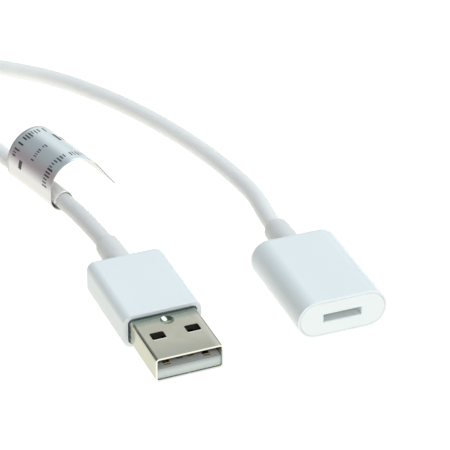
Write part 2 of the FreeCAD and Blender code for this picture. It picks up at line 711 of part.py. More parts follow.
# Socket inner mould: holds the receptacle and the board in the sleeve, with a way for the wires
def make_socket_inner_mould():
    body = new_body("socket_inner_mould")
    section = sketch_on(body, "XZ_Plane")
    stadium(section, f"{HOLLOW_WIDTH} - 2*fit_gap", f"{HOLLOW_HEIGHT} - 2*fit_gap")
    pad(body, section, f"{SOCKET_FLANGE} - plate_thickness")
    seat_for_can = sketch_on(body, "XZ_Plane")
    rounded(seat_for_can, "can_width + 2*fit_gap", "can_height + 2*fit_gap", "can_corner")
    pocket(body, seat_for_can, "can_length")
    chamber = sketch_on(body, "XZ_Plane")
    low = f"({PIN_LEVEL} - board_thickness - fit_gap)"
    high = f"({SOCKET_WIRE_LEVEL} + wire_diameter/2 + fit_gap)"
    rectangle(chamber, "board_width + 2*fit_gap", f"{high} - {low}", "0", f"({high} + {low})/2")
    pocket(body, chamber, "can_length + board_length + fit_gap")
    way = sketch_on(body, "XZ_Plane")
    rectangle(way, "7*wire_spacing + wire_diameter", "wire_diameter + 2*fit_gap", "0", SOCKET_WIRE_LEVEL)
    pocket(body, way, f"{SOCKET_FLANGE} - plate_thickness")
    seat(body, socket_pose, "plate_thickness")


def make_socket_collar():
    make_collar("socket_strain_relief", socket_pose, "socket_collar_exposed",
                "socket_length - socket_rear_wall", "socket_rear_wall", "socket_collar_diameter",
                f"{HOLLOW_WIDTH} - {HOLLOW_HEIGHT}", f"{HOLLOW_HEIGHT} - 2*fit_gap", "can_corner")


# Cord: one route on the table, from the plug's collar to the coil and from the coil to the socket's collar
CORD = size("cord_diameter")
COIL_CENTRE = Vector(size("coil_x"), size("coil_y"), size("tie_thickness"))
COIL_MIDDLE = size("coil_middle_diameter/2")
COIL_WIDTH = size("coil_turns_across*cord_diameter")
COIL_HEIGHT = size("coil_turns_high*cord_diameter")
OUTER_TURN = COIL_MIDDLE + (COIL_WIDTH - CORD) / 2
LOWER_TURN = math.radians(size("coil_lower_lead_turn"))
upper_touch = COIL_CENTRE + Vector(0, -OUTER_TURN, COIL_HEIGHT - CORD / 2)
lower_way = Vector(math.sin(LOWER_TURN), -math.cos(LOWER_TURN), 0)
lower_touch = COIL_CENTRE + Vector(-lower_way.y, lower_way.x, 0) * OUTER_TURN + Vector(0, 0, CORD / 2)
plug_end = plug_pose.multVec(Vector(0, size("shell_exposed + plug_length + plug_collar_exposed"), 0))
socket_end = socket_pose.multVec(Vector(0, size("socket_length + socket_collar_exposed"), 0))
plug_straight = plug_pose.Rotation.multVec(Vector(0, size("cord_straight"), 0))
socket_straight = socket_pose.Rotation.multVec(Vector(0, size("cord_straight"), 0))
LABEL_RUN = (Vector(-0.6, 34.0, 2.0), Vector(-5.46, 52.4, 2.0))
RISE = (Vector(-7.6, 60.4, 2.1), Vector(-12.2, 66.6, 3.9))
UPPER_JOIN = (RISE[0] + RISE[1]) / 2
LOWER_JOIN = lower_touch + lower_way * size("coil_lower_lead")
PLUG_ROUTE = [plug_end, plug_end + plug_straight, *LABEL_RUN, RISE[0], UPPER_JOIN]
UPPER_LEAD = [UPPER_JOIN, RISE[1], upper_touch + Vector(size("coil_upper_lead"), 0, 0), upper_touch]
LOWER_LEAD = [lower_touch, LOWER_JOIN]
SOCKET_ROUTE = [
    socket_end,
    socket_end + socket_straight,
    Vector(31.2, 30.9, 1.95),
    Vector(29.6, 44.4, 1.6),
    Vector(26.0, 57.9, 1.6),
    Vector(20.5, 70.9, 1.6),
    Vector(12.0, 84.0, 1.6),
    LOWER_JOIN + lower_way * size("cord_straight"),
    LOWER_JOIN,
]


def make_cords():
    shaped("cable_plug_side", tube_shape(PLUG_ROUTE, CORD))
    shaped("cable_socket_side", tube_shape(SOCKET_ROUTE, CORD))


# Coil: the put-away turns as one ring of joined eight-sided turns, with the cord's two leads
EIGHTH = math.tan(math.pi / 8)


def upright_face(points):
    """A flat face in the plane through the coil's axis, from distances to the axis and heights."""
    outline = [COIL_CENTRE + Vector(across, 0, height) for across, height in points]
    return Part.Face(Part.makePolygon(outline + outline[:1]))


def row_of_turns(first, count, flat, deep):
    """One side of the bundle: each turn's flat, and the groove to the next, as distances along and in."""
    points = []
    for number in range(count):
        middle = first + number * CORD
        points += [(middle - flat, 0), (middle + flat, 0)]
        if number < count - 1:
            points.append((middle + CORD / 2, deep))
    return points


def coil_section():
    """The outline of the bundled turns, side by side and in layers."""
    flat = EIGHTH * CORD / 2
    deep = CORD / 2 - flat
    inner, outer = COIL_MIDDLE - COIL_WIDTH / 2, COIL_MIDDLE + COIL_WIDTH / 2
    across = row_of_turns(inner + CORD / 2, int(size("coil_turns_across")), flat, deep)
    high = row_of_turns(CORD / 2, int(size("coil_turns_high")), flat, deep)
    outside = [(outer - into, along) for along, into in high]
    above = [(along, COIL_HEIGHT - into) for along, into in reversed(across)]
    inside = [(inner + into, along) for along, into in reversed(high)]
    return upright_face(across + outside + above + inside)


def make_coil():
    coil = coil_section().revolve(COIL_CENTRE, Vector(0, 0, 1), 360)
    for lead in (UPPER_LEAD, LOWER_LEAD):
        coil = coil.fuse(tube_shape(lead, CORD))
    shaped("cable_coil", coil)


# Coil tie: a thin strap closed round the bundled turns, with its corners cut off as theirs are
def strap_section(grow):
    half, low, high = COIL_WIDTH / 2 + grow, -grow, COIL_HEIGHT + grow
    cut = (1 - EIGHTH) * (CORD / 2 + grow)
    left, right = COIL_MIDDLE - half, COIL_MIDDLE + half
    return upright_face([(left + cut, low), (right - cut, low), (right, low + cut), (right, high - cut),
                         (right - cut, high), (left + cut, high), (left, high - cut), (left, low + cut)])


def make_coil_tie():
    band = strap_section(size("tie_thickness")).cut(strap_section(size("fit_gap"))).Faces[0]
    tie = shaped("coil_tie", band.revolve(COIL_CENTRE, Vector(0, 0, 1), size("tie_sweep")))
    turn = FreeCAD.Rotation(Vector(0, 0, 1), size("tie_turn - tie_sweep/2"))
    tie.Placement = FreeCAD.Placement(Vector(0, 0, 0), turn, COIL_CENTRE)


# Label: one film wound on the cord; it leaves the cord below, loops up at the left, arches over and ends free
def make_label():
    body = new_body("label")
    wrap_formula = "(cord_diameter/2 + label_slack + label_film/2)"
    wrap, loop, arch = size(wrap_formula), size("label_loop_radius"), size("label_arch_radius")
    leg, tail = size("label_leg"), size("label_tail")
    finish = math.radians(size("label_arch_end"))
    upward = Vector(0, 0, 1)
    loop_centre = Vector(0, loop - wrap)
    leg_foot = loop_centre + Vector(-loop, 0)
    leg_top = leg_foot + Vector(0, leg)
    arch_centre = leg_top + Vector(arch, 0)
    brow = arch_centre + Vector(math.cos(finish), math.sin(finish)) * arch
    path = sketch_on(body, "XZ_Plane")
    path.addGeometry([
        Part.ArcOfCircle(Part.Circle(Vector(0, 0), upward, wrap), -math.pi / 2, math.pi),
        Part.ArcOfCircle(Part.Circle(loop_centre, upward, loop), math.pi, 1.5 * math.pi),
        Part.LineSegment(leg_foot, leg_top),
        Part.ArcOfCircle(Part.Circle(arch_centre, upward, arch), finish, math.pi),
        Part.LineSegment(brow, brow + Vector(math.sin(finish), -math.cos(finish)) * tail),
    ], False)
    for first, first_end, second, second_end in ((0, 1, 1, 2), (1, 1, 2, 1), (2, 2, 3, 2), (3, 1, 4, 1)):
        path.addConstraint(Sketcher.Constraint("Tangent", first, first_end, second, second_end))
    path.addConstraint(Sketcher.Constraint("Coincident", 0, 3, -1, 1))
    path.addConstraint(Sketcher.Constraint("Vertical", 2))
    dimension(path, Sketcher.Constraint("Radius", 0, wrap), wrap_formula)
    dimension(path, Sketcher.Constraint("Radius", 1, loop), "label_loop_radius")
    dimension(path, Sketcher.Constraint("Distance", 2, 1, 2, 2, leg), "label_leg")
    dimension(path, Sketcher.Constraint("Radius", 3, arch), "label_arch_radius")
    dimension(path, Sketcher.Constraint("Distance", 4, 1, 4, 2, tail), "label_tail")
    section = sketch_on(body, "XY_Plane")
    rectangle(section, "label_film", "label_length", f"-{wrap_formula}")
    pipe = body.newObject("PartDesign::AdditivePipe", "label_pipe")
    pipe.Profile = section
    pipe.Spine = path
    doc.recompute()
    along = (LABEL_RUN[1] - LABEL_RUN[0]).normalize()
    middle = LABEL_RUN[0] + along * size("label_setback + label_length/2")
    body.Placement = FreeCAD.Placement(middle, FreeCAD.Rotation(Vector(0, 1, 0), along))


for make in (make_plug_shell, make_plug_insulator, make_plug_contacts, make_plug_wires,
             make_plug_inner_mould, make_plug_housing, make_plug_collar, make_socket_housing,
             make_socket_front_plate, make_socket_shell, make_socket_insulator, make_socket_contacts,
             make_socket_latches, make_socket_board, make_socket_wires, make_socket_inner_mould,
             make_socket_collar, make_coil, make_coil_tie, make_cords, make_label):
    make()
doc.recompute()

# Every object is sound before anything is written
for item in doc.Objects:
    if "Invalid" in item.State or "Error" in item.State:
        raise RuntimeError(f"{item.Label}: {item.State}")
for piece in pieces:
    shape = piece.Shape
    if shape.isNull() or not shape.isValid() or len(shape.Solids) != 1:
        raise RuntimeError(f"{piece.Label}: not one sound solid")

os.makedirs("parts", exist_ok=True)
for piece in pieces:
    piece.Shape.exportStep(f"parts/{piece.Label}.step")
    print(piece.Label, round(piece.Shape.Volume, 3))
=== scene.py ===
import bpy
import numpy as np
from mathutils import Matrix


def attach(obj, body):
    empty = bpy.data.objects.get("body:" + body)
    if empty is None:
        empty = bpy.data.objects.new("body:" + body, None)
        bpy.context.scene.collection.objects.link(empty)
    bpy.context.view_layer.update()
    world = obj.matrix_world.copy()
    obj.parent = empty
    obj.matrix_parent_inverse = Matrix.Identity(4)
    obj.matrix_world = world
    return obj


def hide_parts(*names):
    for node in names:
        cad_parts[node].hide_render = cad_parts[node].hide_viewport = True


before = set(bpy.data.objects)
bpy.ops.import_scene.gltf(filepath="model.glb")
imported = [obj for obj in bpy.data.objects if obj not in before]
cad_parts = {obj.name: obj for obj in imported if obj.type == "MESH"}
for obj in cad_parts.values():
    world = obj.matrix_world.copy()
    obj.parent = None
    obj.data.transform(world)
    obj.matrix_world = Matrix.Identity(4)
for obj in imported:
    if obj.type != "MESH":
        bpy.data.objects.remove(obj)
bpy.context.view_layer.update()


# Plug shell
# A strip of sheet steel folded into a flat tube, with two windows, a pressed dimple and a butt seam
# below. It is plated bright nickel over the rolled surface, so the rolling lines still show.
class Grain:
    """One socket of a finish's node tree: arithmetic adds Math nodes, and node() any other kind."""

    def __init__(self, tree, socket=None):
        self.tree = tree
        self.socket = socket

    def node(self, kind, settings, sockets, out=0):
        """Adds a node of that kind, sets its settings, and then gives its sockets values or links."""
        made = self.tree.nodes.new("ShaderNode" + kind)
        for name, value in settings.items():
            setattr(made, name, value)
        for key, value in sockets.items():
            if isinstance(value, Grain):
                self.tree.links.new(value.socket, made.inputs[key])
            else:
                made.inputs[key].default_value = value
        return Grain(self.tree, made.outputs[out] if made.outputs else None)

    def maths(self, operation, *others):
        """A Math node on this number and the others."""
        return self.node("Math", {"operation": operation}, dict(enumerate((self, *others))))

    def __add__(self, other):
        return self.maths("ADD", other)

    def __sub__(self, other):
        return self.maths("SUBTRACT", other)

    def __rsub__(self, other):
        return self.maths("MULTIPLY_ADD", -1.0, other)

    def __mul__(self, other):
        return self.maths("MULTIPLY", other)

    def __truediv__(self, other):
        return self.maths("DIVIDE", other)

    def __lt__(self, other):
        return self.maths("LESS_THAN", other)

    def __gt__(self, other):
        return self.maths("GREATER_THAN", other)

    __radd__ = __add__
    __rmul__ = __mul__

    def eased(self, low, high):
        """0 below low, 1 above high, and a soft step between."""
        return self.node("MapRange", {"interpolation_type": "SMOOTHSTEP"}, {0: self, 1: low, 2: high})

    def part(self, axis):
        """The x, y or z part of a vector."""
        return self.node("SeparateXYZ", {}, {0: self}, out="xyz".index(axis))

    def stretched(self, x, y, z):
        """A vector multiplied by those three numbers."""
        return self.node("VectorMath", {"operation": "MULTIPLY"}, {0: self, 1: (x, y, z)})

    def noise(self, scale, detail=2.0):
        """Soft noise at this place, with that many patches to a metre."""
        return self.node("TexNoise", {}, {"Vector": self, "Scale": scale, "Detail": detail})

    def blend(self, first, second):
        """The first colour where this is 0 and the second where it is 1. A Mix node has sockets for
        numbers and vectors too, so its colours are told by number."""
        return self.node("Mix", {"data_type": "RGBA"}, {0: self, 6: first, 7: second}, out=2)

    def bump(self, distance, strength=1.0):
        """Surface normals for this height, where 1 stands that many metres out."""
        return self.node("Bump", {}, {"Strength": strength, "Distance": distance, "Height": self})


def new_finish(name):
    """An empty finish: its material, a start for its nodes, and the place on the piece."""
    material = bpy.data.materials.new(name)
    material.use_nodes = True
    material.node_tree.nodes.clear()
    start = Grain(material.node_tree)
    place = start.node("TexCoord", {}, {}, out="Object")
    return material, start, place


def coat_with(material, start, sockets):
    """Closes a finish: one Principled shader with those sockets, joined to the surface."""
    shader = start.node("BsdfPrincipled", {}, sockets)
    start.node("OutputMaterial", {}, {"Surface": shader})
    return material


def eased_edges():
    """The modifiers' node group that joins a node's triangles and shades its rounded edges as one
    surface: edges that turn less than the crease angle are smooth, and the rest stay sharp."""
    crease = np.radians(32.0)
    same_point = 1e-7
    group = bpy.data.node_groups.new("eased_edges", "GeometryNodeTree")
    group.interface.new_socket("Geometry", in_out="INPUT", socket_type="NodeSocketGeometry")
    group.interface.new_socket("Geometry", in_out="OUTPUT", socket_type="NodeSocketGeometry")
    entry = group.nodes.new("NodeGroupInput")
    weld = group.nodes.new("GeometryNodeMergeByDistance")
    weld.inputs["Distance"].default_value = same_point
    smooth = group.nodes.new("GeometryNodeSetShadeSmooth")
    smooth.domain = "FACE"
    angle = group.nodes.new("GeometryNodeInputMeshEdgeAngle")
    sharp = group.nodes.new("FunctionNodeCompare")
    sharp.operation = "LESS_THAN"
    sharp.inputs[1].default_value = crease
    edges = group.nodes.new("GeometryNodeSetShadeSmooth")
    edges.domain = "EDGE"
    leave = group.nodes.new("NodeGroupOutput")
    group.links.new(entry.outputs[0], weld.inputs["Geometry"])
    group.links.new(weld.outputs[0], smooth.inputs["Geometry"])
    group.links.new(smooth.outputs[0], edges.inputs["Geometry"])
    group.links.new(angle.outputs[0], sharp.inputs[0])
    group.links.new(sharp.outputs[0], edges.inputs["Shade Smooth"])
    group.links.new(edges.outputs[0], leave.inputs[0])
    return group


EASED_EDGES = eased_edges()


def dress(material, *names):
    """Gives CAD nodes that finish, and shades their rounded edges smoothly."""
    for name in names:
        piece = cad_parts[name]
        piece.data.materials.clear()
        piece.data.materials.append(material)
        piece.modifiers.new("eased_edges", "NODES").node_group = EASED_EDGES
        weight = piece.modifiers.new("face_weight", "WEIGHTED_NORMAL")
        weight.keep_sharp = True


def corners(name):
    """The lowest and the highest corner of a CAD node, as two lists of x, y and z."""
    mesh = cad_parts[name].data
    points = np.empty(3 * len(mesh.vertices))
    mesh.vertices.foreach_get("co", points)
    points = points.reshape(-1, 3)
    return points.min(0).tolist(), points.max(0).tolist()


SHELL_LOW, SHELL_HIGH = corners("plug_shell")
SHELL_TIP = SHELL_LOW[1]
SHELL_MIDDLE = (SHELL_LOW[2] + SHELL_HIGH[2]) / 2
SLEEVE_FRONT = corners("plug_housing")[0][1]


def rolled_plate(name, worn=None):
    """Bright plate: rolling lines are noise stretched along the sheet, and soft smears change tone
    and gloss. A worn function takes the place and the tone, and gives back the tone with painted
    light and shade, and how dull it is there."""
    material, start, place = new_finish(name)
    lines = place.stretched(9000.0, 260.0, 9000.0).noise(1.0, 3.0)
    smears = place.noise(420.0, 3.0)
    tone = smears.eased(0.35, 0.7).blend((0.555, 0.55, 0.455, 1.0), (0.595, 0.59, 0.495, 1.0))
    roughness = 0.09 + 0.06 * lines + 0.08 * smears.eased(0.4, 0.75)
    if worn:
        # The worn function paints light and shade into the tone.
        tone, dull = worn(place, tone)
        roughness = roughness + 0.4 * dull
    return coat_with(material, start, {
        "Base Color": tone,
        "Metallic": 1.0,
        "Roughness": roughness,
        "Normal": lines.bump(4e-6, 0.35),
    })


def shell_painted_light(place, tone):
    """The plug shell's painted light and shade by place, with depth counted from its tip: painted darker
    towards the mouth, a painted dark reflection by the sleeve, yellower sides, painted highlights on its
    right edge, lip and window sills, painted light under the sleeve, and painted shade inside the fold."""
    sheet, skin = 0.0003, 0.00005
    half_width = SHELL_HIGH[0]
    half_height = SHELL_HIGH[2] - SHELL_MIDDLE
    sleeve = SLEEVE_FRONT - SHELL_TIP
    window_front, window_middle, window_half = 0.0055, 0.0031, 0.00125
    sill_width = 0.00026
    hollow = 0.0090
    x, height = place.part("x"), place.part("z") - SHELL_MIDDLE
    wide, level = x.maths("ABSOLUTE"), height.maths("ABSOLUTE")
    depth = place.part("y") - SHELL_TIP
    # Painted shade: darker towards the mouth.
    tone = depth.eased(0.0001, 0.0049).blend((0.475, 0.475, 0.405, 1.0), tone)
    # Painted highlight along the right edge.
    painted_edge_highlight = x.eased(half_width - 0.0019, half_width - 0.0002)
    tone = painted_edge_highlight.blend(tone, (0.72, 0.72, 0.64, 1.0))
    # Painted reflection of the sleeve: a dark band just before it.
    painted_sleeve_reflection = depth.eased(sleeve - 0.0028, sleeve - 0.0012) * (wide < half_width - sheet)
    tone = painted_sleeve_reflection.blend(tone, (0.335, 0.395, 0.335, 1.0))
    sides = wide > half_width - skin
    tone = sides.blend(tone, (0.525, 0.535, 0.43, 1.0))
    # Painted light under the sleeve's edge, bright and blue.
    painted_gap_light = depth > sleeve
    tone = painted_gap_light.blend(tone, (0.85, 0.93, 1.0, 1.0))
    # Painted highlights on the tip's lip, its upper edge and the windows' front sills.
    lip = depth < skin
    tone = lip.blend(tone, (0.70, 0.74, 0.73, 1.0))
    painted_lip_highlight = lip * ((height > 0.0012) + (x < sheet - half_width) > 0.5)
    painted_sill_highlight = ((depth > window_front - sill_width) * (depth < window_front)
            * ((wide - window_middle).maths("ABSOLUTE") < window_half - 0.0001))
    tone = (painted_sill_highlight + painted_lip_highlight).blend(tone, (0.86, 0.85, 0.78, 1.0))
    # Painted shade inside the fold, which is also rougher there.
    inside = ((wide < half_width - sheet / 2) * (level < half_height - sheet / 2)
              * depth.eased(sheet, 0.0023) * (depth < hollow))
    return inside.blend(tone, (0.11, 0.108, 0.088, 1.0)), inside


dress(rolled_plate("nickel_plate", shell_painted_light), "plug_shell")


# Tongue, contacts and wires of the plug
# The tongue is a pale moulding in the shell's lower half. Four gilt strips lie in its channels, and the
# wire ends are soldered to their tails behind it.
def pale_moulding(name, light, dark, grain, painted_shading=None):
    """Matt moulding: fine sparkle bump with slow cloudy changes of tone. A shading function takes the
    place and the tone, and gives back the tone with painted light and shade over the piece."""
    material, start, place = new_finish(name)
    cloud = place.noise(300.0, 3.0)
    speck = place.noise(grain, 2.0)
    tone = cloud.eased(0.3, 0.7).blend(dark, light)
    return coat_with(material, start, {
        "Base Color": painted_shading(place, tone) if painted_shading else tone,
        "Roughness": 0.42 + 0.14 * speck,
        "Normal": speck.bump(6e-6, 0.4),
    })


def tongue_painted_light(place, tone):
    """The tongue's painted light and shade by place, with depth counted from its front face and height
    from the shell's middle, just under its top: painted shade up the face, painted light on the top,
    and painted shade from the contacts inwards."""
    face = corners("plug_insulator")[0][1]
    depth, height = place.part("y") - face, place.part("z") - SHELL_MIDDLE
    front = depth < 0.0001
    # Painted shade up the front face, then painted light on the top.
    tone = (front * height.eased(-0.0009, 0.0002)).blend(tone, (0.36, 0.39, 0.38, 1.0))
    tone = ((1.0 - front) * (height > -0.0001)).blend(tone, (0.90, 0.93, 0.90, 1.0))
    # Painted shade from the contacts inwards.
    return depth.eased(0.0012, 0.0026).blend(tone, (0.09, 0.092, 0.07, 1.0))


# Halfway between the two housings: what lies to the left of it belongs to the plug.
PLUG_SIDE = (corners("plug_housing")[1][0] + corners("socket_housing")[0][0]) / 2


def gilt_strip():
    """Gold flash over nickel: brushed along the strip, with darker worn patches. Strips on the
    plug's side of the part are painted dark inside the plug, as shade."""
    material, start, place = new_finish("gilt_contact")
    brushed = place.stretched(7000.0, 300.0, 7000.0).noise(1.0, 2.0)
    worn = place.noise(900.0, 3.0).eased(0.45, 0.7)
    # Painted shade: the plug's strips go dark inside the plug.
    painted_deep_shade = (place.part("y") - SHELL_TIP).eased(0.0019, 0.0031) * (place.part("x") < PLUG_SIDE)
    gilt = worn.blend((0.46, 0.36, 0.17, 1.0), (0.31, 0.25, 0.13, 1.0))
    return coat_with(material, start, {
        "Base Color": painted_deep_shade.blend(gilt, (0.05, 0.042, 0.028, 1.0)),
        "Metallic": 1.0,
        "Roughness": 0.22 + 0.14 * brushed,
        "Normal": brushed.bump(3e-6, 0.3),
    })


def wire_jacket(name, colour, worn):
    """Thin wire insulation: glossy colour with slightly chalky patches."""
    material, start, place = new_finish(name)
    patch = place.noise(1400.0, 2.0)
    return coat_with(material, start, {
        "Base Color": patch.eased(0.5, 0.75).blend(colour, worn),
        "Roughness": 0.3 + 0.2 * patch,
        "Normal": patch.bump(4e-6, 0.4),
    })


TONGUE_GREY, TONGUE_CLOUD = (0.62, 0.68, 0.66, 1.0), (0.56, 0.62, 0.60, 1.0)
TONGUE = pale_moulding("insulator_plastic", TONGUE_GREY, TONGUE_CLOUD, 5200.0, tongue_painted_light)
NATURAL = pale_moulding("inner_mould_plastic", (0.76, 0.76, 0.72, 1.0), (0.70, 0.70, 0.66, 1.0), 3600.0)
GILT = gilt_strip()
WIRES = {
    "power": wire_jacket("wire_red", (0.55, 0.03, 0.025, 1.0), (0.62, 0.07, 0.06, 1.0)),
    "data_minus": wire_jacket("wire_white", (0.80, 0.80, 0.79, 1.0), (0.72, 0.72, 0.70, 1.0)),
    "data_plus": wire_jacket("wire_green", (0.03, 0.33, 0.07, 1.0), (0.06, 0.38, 0.11, 1.0)),
    "ground": wire_jacket("wire_black", (0.012, 0.012, 0.013, 1.0), (0.03, 0.03, 0.03, 1.0)),
}
dress(TONGUE, "plug_insulator")
dress(NATURAL, "plug_inner_mould")
for duty, insulation in WIRES.items():
    dress(GILT, "contact_" + duty)
    dress(insulation, "plug_wire_" + duty)


# Plug housing
# A hard white sleeve, pushed over the shell and the first moulding. It is moulded in one piece with a
# satin polish, and its broad faces carry a faint flow ripple from the mould.
def white_shell():
    """Polished moulding: very fine orange peel, slow flow ripple and slightly varied gloss.
    The plug's front edge, where the shell is pushed in, is painted a little darker, as shade."""
    material, start, place = new_finish("white_shell_plastic")
    peel = place.noise(2600.0, 2.0)
    flow = place.stretched(1.0, 0.35, 1.0).noise(190.0, 2.0)
    depth = place.part("y") - SLEEVE_FRONT
    # Painted shade on the plug's front edge round the shell.
    painted_rim_shade = (place.part("x") < PLUG_SIDE) * (1.0 - depth.eased(0.0001, 0.0005))
    white = flow.eased(0.3, 0.7).blend((0.835, 0.895, 0.905, 1.0), (0.85, 0.905, 0.915, 1.0))
    return coat_with(material, start, {
        "Base Color": painted_rim_shade.blend(white, (0.79, 0.825, 0.85, 1.0)),
        "Roughness": 0.28 + 0.10 * flow + 0.05 * peel,
        "Normal": (peel + 1.5 * flow).bump(5e-6, 0.5),
        "Coat Weight": 0.15,
        "Coat Roughness": 0.12,
    })


WHITE_SHELL = white_shell()
dress(WHITE_SHELL, "plug_housing")


# Collars
# Soft white sleeves moulded round the cord behind each connector, held inside its housing by a flange.
# The soft plastic is satin, and takes up a little dust.
def white_soft():
    """Soft moulding: pebbled bump and dusty changes of tone."""
    material, start, place = new_finish("white_soft_plastic")
    pebble = place.noise(3400.0, 2.0)
    dust = place.noise(520.0, 4.0)
    return coat_with(material, start, {
        "Base Color": dust.eased(0.35, 0.75).blend((0.79, 0.80, 0.79, 1.0), (0.755, 0.765, 0.755, 1.0)),
        "Roughness": 0.46 + 0.14 * dust,
        "Normal": pebble.bump(7e-6, 0.45),
    })


WHITE_SOFT = white_soft()
dress(WHITE_SOFT, "plug_strain_relief", "socket_strain_relief")


# Socket
# A small flat socket: sprung strips in a moulded block, a folded can round it, and a small board behind.
# A white sleeve with an inset front plate closes it.
def woven(flat, thread):
    """Crossed threads as the product of two sine ripples, along the x and the y of a flat place."""
    warp = (flat.part("x") * (2 * np.pi / thread)).maths("SINE")
    weft = (flat.part("y") * (2 * np.pi / thread)).maths("SINE")
    return warp * weft


def board_resist():
    """Green resist over glass cloth: the weave shows as crossed sine ripples under a glossy film."""
    material, start, place = new_finish("board_laminate")
    thread = 0.00035
    weave = woven(place, thread)
    return coat_with(material, start, {
        "Base Color": weave.eased(-1.0, 1.0).blend((0.02, 0.16, 0.05, 1.0), (0.04, 0.24, 0.09, 1.0)),
        "Roughness": 0.28 + 0.08 * weave,
        "Normal": weave.bump(6e-6, 0.4),
    })


CONTACTS = ["socket_contact_%d" % number for number in range(1, 9)]
BLOCK = pale_moulding("block_plastic", (0.92, 0.95, 0.95, 1.0), (0.88, 0.92, 0.92, 1.0), 5200.0)
dress(WHITE_SHELL, "socket_housing", "socket_front_plate")
dress(rolled_plate("can_plate"), "socket_shell", "socket_latch_left", "socket_latch_right")
dress(BLOCK, "socket_insulator")
dress(NATURAL, "socket_inner_mould")
dress(GILT, *CONTACTS)
dress(board_resist(), "socket_board")
for duty, insulation in WIRES.items():
    dress(insulation, "socket_wire_" + duty)


# Cord
# One soft white cord with an extruded jacket joins the two connectors. It leaves the plug's collar,
# runs to the left, is put away in a flat coil of two layers, and comes back in a wide bow to the
# socket's collar.
CORD_DIAMETER = 0.0032
FROM_PLUG = 0.001 * np.array([
    (0.0, 17.875, 3.2), (-0.3, 22.8, 3.2), (-1.0, 35.2, 2.0), (-5.46, 52.4, 2.0), (-7.6, 60.4, 2.1),
    (-12.2, 66.6, 3.9), (-18.0, 69.2, 5.3),
])
TO_SOCKET = 0.001 * np.array([
    (2.35, 90.7, 2.1), (11.97, 83.5, 1.6), (19.95, 70.6, 1.6), (25.2, 58.3, 1.6), (29.6, 43.7, 1.6),
    (31.9, 26.6, 2.05), (30.0, 16.8, 3.48), (29.566, 11.077, 3.575),
])
COIL_CENTRE = 0.001 * np.array([-24.0, 90.0, 3.7])
COIL_MIDDLE = 0.016


def coil_turns():
    """The coil's points. The way round falls steadily from the upper lead. The radius shrinks by
    one cord a turn to the middle of the winding and grows back by as much. The height changes over
    once, between the layers. The points lie a little outside the circle, because a smooth spline
    cuts the corners of its points."""
    points_a_turn = 24
    turns = 6.0 + 225.0 / 360.0
    change_over = 0.3
    outer = COIL_MIDDLE + 1.5 * CORD_DIAMETER
    spread = 1.0 / np.cos(np.pi / points_a_turn)
    share = np.linspace(0.0, 1.0, int(turns * points_a_turn) + 1)
    first_way = np.radians(-90.0)
    way = first_way - 2 * np.pi * turns * share
    radius = (outer - np.minimum(share, 1.0 - share) * turns * CORD_DIAMETER) * spread
    lowered = np.clip((share - 0.5) * turns / change_over + 0.5, 0.0, 1.0)
    height = COIL_CENTRE[2] + (0.5 - lowered) * CORD_DIAMETER
    x = COIL_CENTRE[0] + radius * np.cos(way)
    y = COIL_CENTRE[1] + radius * np.sin(way)
    return np.stack([x, y, height], 1)


CORD_ROUTE = np.concatenate([FROM_PLUG, coil_turns(), TO_SOCKET])


def cord_curve(name, thickness):
    """One open smooth spline with the route's points as its control points."""
    curve = bpy.data.curves.new(name, "CURVE")
    curve.dimensions = "3D"
    curve.resolution_u = 6
    spline = curve.splines.new("NURBS")
    spline.points.add(len(CORD_ROUTE) - 1)
    spline.points.foreach_set("co", np.c_[CORD_ROUTE, np.ones(len(CORD_ROUTE))].ravel())
    spline.order_u = 3
    spline.use_endpoint_u = True
    curve.bevel_depth = thickness / 2
    curve.bevel_resolution = 5
    curve.use_fill_caps = thickness > 0
    piece = bpy.data.objects.new(name, curve)
    bpy.context.scene.collection.objects.link(piece)
    return piece


def cord_line():
    """The cord's centre line, as points read from its spline without thickness."""
    bare = cord_curve("cord_line", 0.0)
    bpy.context.view_layer.update()
    line = bpy.data.meshes.new_from_object(bare.evaluated_get(bpy.context.evaluated_depsgraph_get()))
    points = np.empty(len(line.vertices) * 3)
    line.vertices.foreach_get("co", points)
    bpy.data.objects.remove(bare)
    bpy.data.meshes.remove(line)
    return points.reshape(-1, 3)


def cord_jacket():
    """Soft jacket: a very fine pebble under faint dust, with painted shade greyer near the plug."""
    material, start, place = new_finish("cord_jacket")
    pebble = place.noise(5200.0, 2.0)
    dust = place.noise(350.0, 4.0)
    tone = dust.eased(0.35, 0.75).blend((0.88, 0.885, 0.875, 1.0), (0.86, 0.865, 0.855, 1.0))
    fade_start, fade_end = 0.036, 0.046
    # Painted shade: the jacket is greyer near the plug.
    painted_plug_shade = (place.part("x") < PLUG_SIDE) * (1.0 - place.part("y").eased(fade_start, fade_end))
    return coat_with(material, start, {
        "Base Color": painted_plug_shade.blend(tone, (0.77, 0.77, 0.76, 1.0)),
        "Roughness": 0.48 + 0.12 * dust,
        "Normal": pebble.bump(3e-6, 0.25),
    })


CORD_LINE = cord_line()
cord = cord_curve("cord", CORD_DIAMETER)
cord.data.materials.append(cord_jacket())
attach(cord, "root")
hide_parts("cable_plug_side", "cable_coil", "cable_socket_side")


# Coil tie
# A narrow dark strap of woven fabric, hooked on one face and looped on the other.
# It is closed round the bundled turns on one side of the coil.
def surface(name, grid, uv):
    """Puts a grid of points into a mesh, with a face for each cell and a flat map of the surface."""
    rows, columns = grid.shape[:2]
    index = np.arange(rows * columns).reshape(rows, columns)
    cells = np.stack([index[:-1, :-1], index[:-1, 1:], index[1:, 1:], index[1:, :-1]], -1).reshape(-1, 4)
    mesh = bpy.data.meshes.new(name)
    mesh.from_pydata(grid.reshape(-1, 3), [], cells)
    mesh.uv_layers.new(name="flat").data.foreach_set("uv", uv.reshape(-1, 2)[cells.ravel()].ravel())
    mesh.shade_smooth()
    piece = bpy.data.objects.new(name, mesh)
    bpy.context.scene.collection.objects.link(piece)
    return piece


STRAP_THICKNESS = 0.0003
STRAP_SWEEP = np.radians(16.0)
STRAP_TURN = np.radians(225.0)
STRAP_LENGTH, STRAP_WIDTH = 0.036, 0.005


